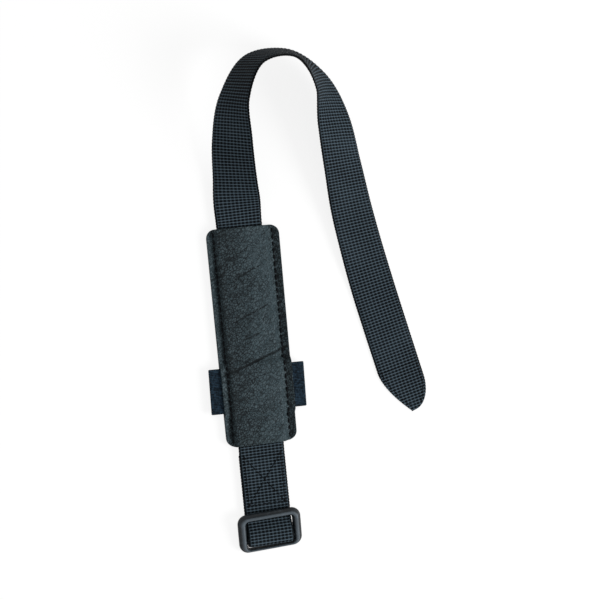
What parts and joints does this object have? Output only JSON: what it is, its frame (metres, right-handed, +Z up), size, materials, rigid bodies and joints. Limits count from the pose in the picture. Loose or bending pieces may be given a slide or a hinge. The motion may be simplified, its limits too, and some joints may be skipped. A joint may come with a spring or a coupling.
{
  "type": "scanner hand strap",
  "caption": "Webbing hand strap with a leather sleeve, elastic side tabs, a slide buckle and a pointed free end laid in a bend.",
  "frame": {"origin": "centre of the outline at the table", "axes": "+X to the right and +Y up the picture, from the buckle towards the bend, +Z up from the table"},
  "size_m": [0.1236, 0.268, 0.0392],
  "materials": {
    "webbing": "woven, matt",
    "leather": "pebble grain, satin",
    "elastic": "knitted, matt",
    "buckle": "moulded, satin"
  },
  "bodies": {
    "root": {"webbing_strap": "webbing", "sleeve_back": "leather", "sleeve_front": "leather", "elastic_band": "elastic", "slide_buckle": "buckle"}
  },
  "joints": []
}
